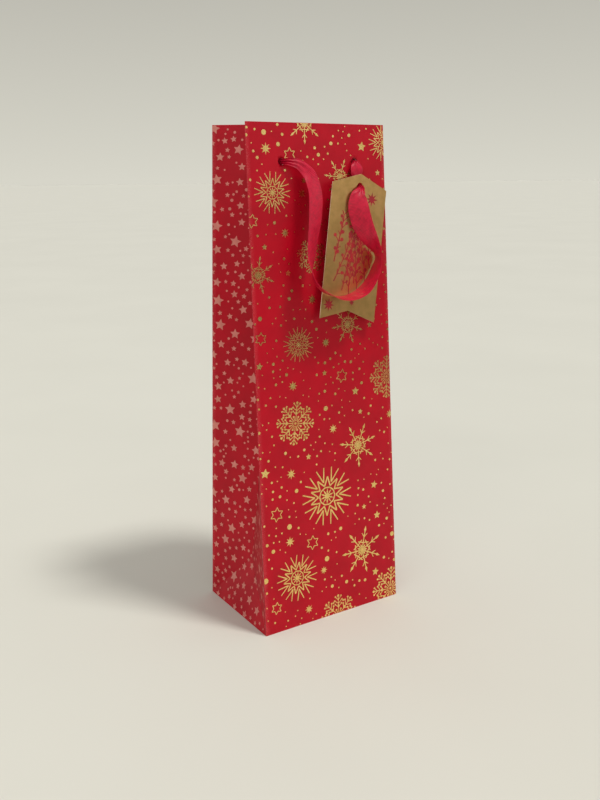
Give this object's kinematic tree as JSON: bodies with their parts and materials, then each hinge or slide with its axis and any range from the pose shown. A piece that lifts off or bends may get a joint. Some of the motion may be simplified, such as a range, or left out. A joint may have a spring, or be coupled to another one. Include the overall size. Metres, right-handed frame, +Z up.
{
  "type": "wine gift bag",
  "caption": "Tall gusseted paper gift bag for a wine bottle, with swinging ribbon handles front and back and a foil gift tag.",
  "frame": {"origin": "centre of the base, on the surface the bag stands on", "axes": "+Z up along the bag's height, -Y out of the front panel that carries the tag, +X to the right as seen from the front"},
  "size_m": [0.117, 0.11, 0.3595],
  "materials": {
    "coated_red_paper": "satin laminate over red print with gold foil stars and snowflakes",
    "paper_inside": "matte uncoated",
    "grey_card": "matte grey board",
    "ribbon": "fine satin weave",
    "gold_foil_card": "hot-stamped gold foil, semi-matte"
  },
  "bodies": {
    "bag": {"front_panel": "coated_red_paper", "back_panel": "coated_red_paper", "left_gusset_front_half": "coated_red_paper", "left_gusset_rear_half": "coated_red_paper", "left_gusset_base_triangle": "coated_red_paper", "right_gusset_front_half": "coated_red_paper", "right_gusset_rear_half": "coated_red_paper", "right_gusset_base_triangle": "coated_red_paper", "side_seam_flap": "paper_inside", "base_outer_flap": "coated_red_paper", "base_inner_flap": "coated_red_paper", "left_base_tuck": "paper_inside", "right_base_tuck": "paper_inside", "base_card": "grey_card", "front_hem": "coated_red_paper", "back_hem": "coated_red_paper", "left_gusset_hem": "coated_red_paper", "right_gusset_hem": "coated_red_paper", "front_reinforcing_card": "grey_card", "back_reinforcing_card": "grey_card", "front_left_knot": "ribbon", "front_right_knot": "ribbon", "back_left_knot": "ribbon", "back_right_knot": "ribbon", "front_left_ribbon_leg": "ribbon", "front_right_ribbon_leg": "ribbon", "back_left_ribbon_leg": "ribbon", "back_right_ribbon_leg": "ribbon"},
    "front_handle": {"front_ribbon_loop": "ribbon"},
    "back_handle": {"back_ribbon_loop": "ribbon"},
    "tag": {"gift_tag": "gold_foil_card"}
  },
  "joints": [
    {"name": "front_handle_swing", "type": "hinge", "parent": "bag", "child": "front_handle", "pos_m": [0, -0.03754, 0.30916], "axis": [-1, 0, 0], "range_deg": [0, 165]},
    {"name": "back_handle_swing", "type": "hinge", "parent": "bag", "child": "back_handle", "pos_m": [0, 0.03754, 0.30916], "axis": [1, 0, 0], "range_deg": [0, 165]},
    {"name": "tag_swing", "type": "hinge", "parent": "bag", "child": "tag", "pos_m": [0.0315, -0.03304, 0.31495], "axis": [0, -0.9987, 0.05], "range_deg": [-22, 33]}
  ]
}
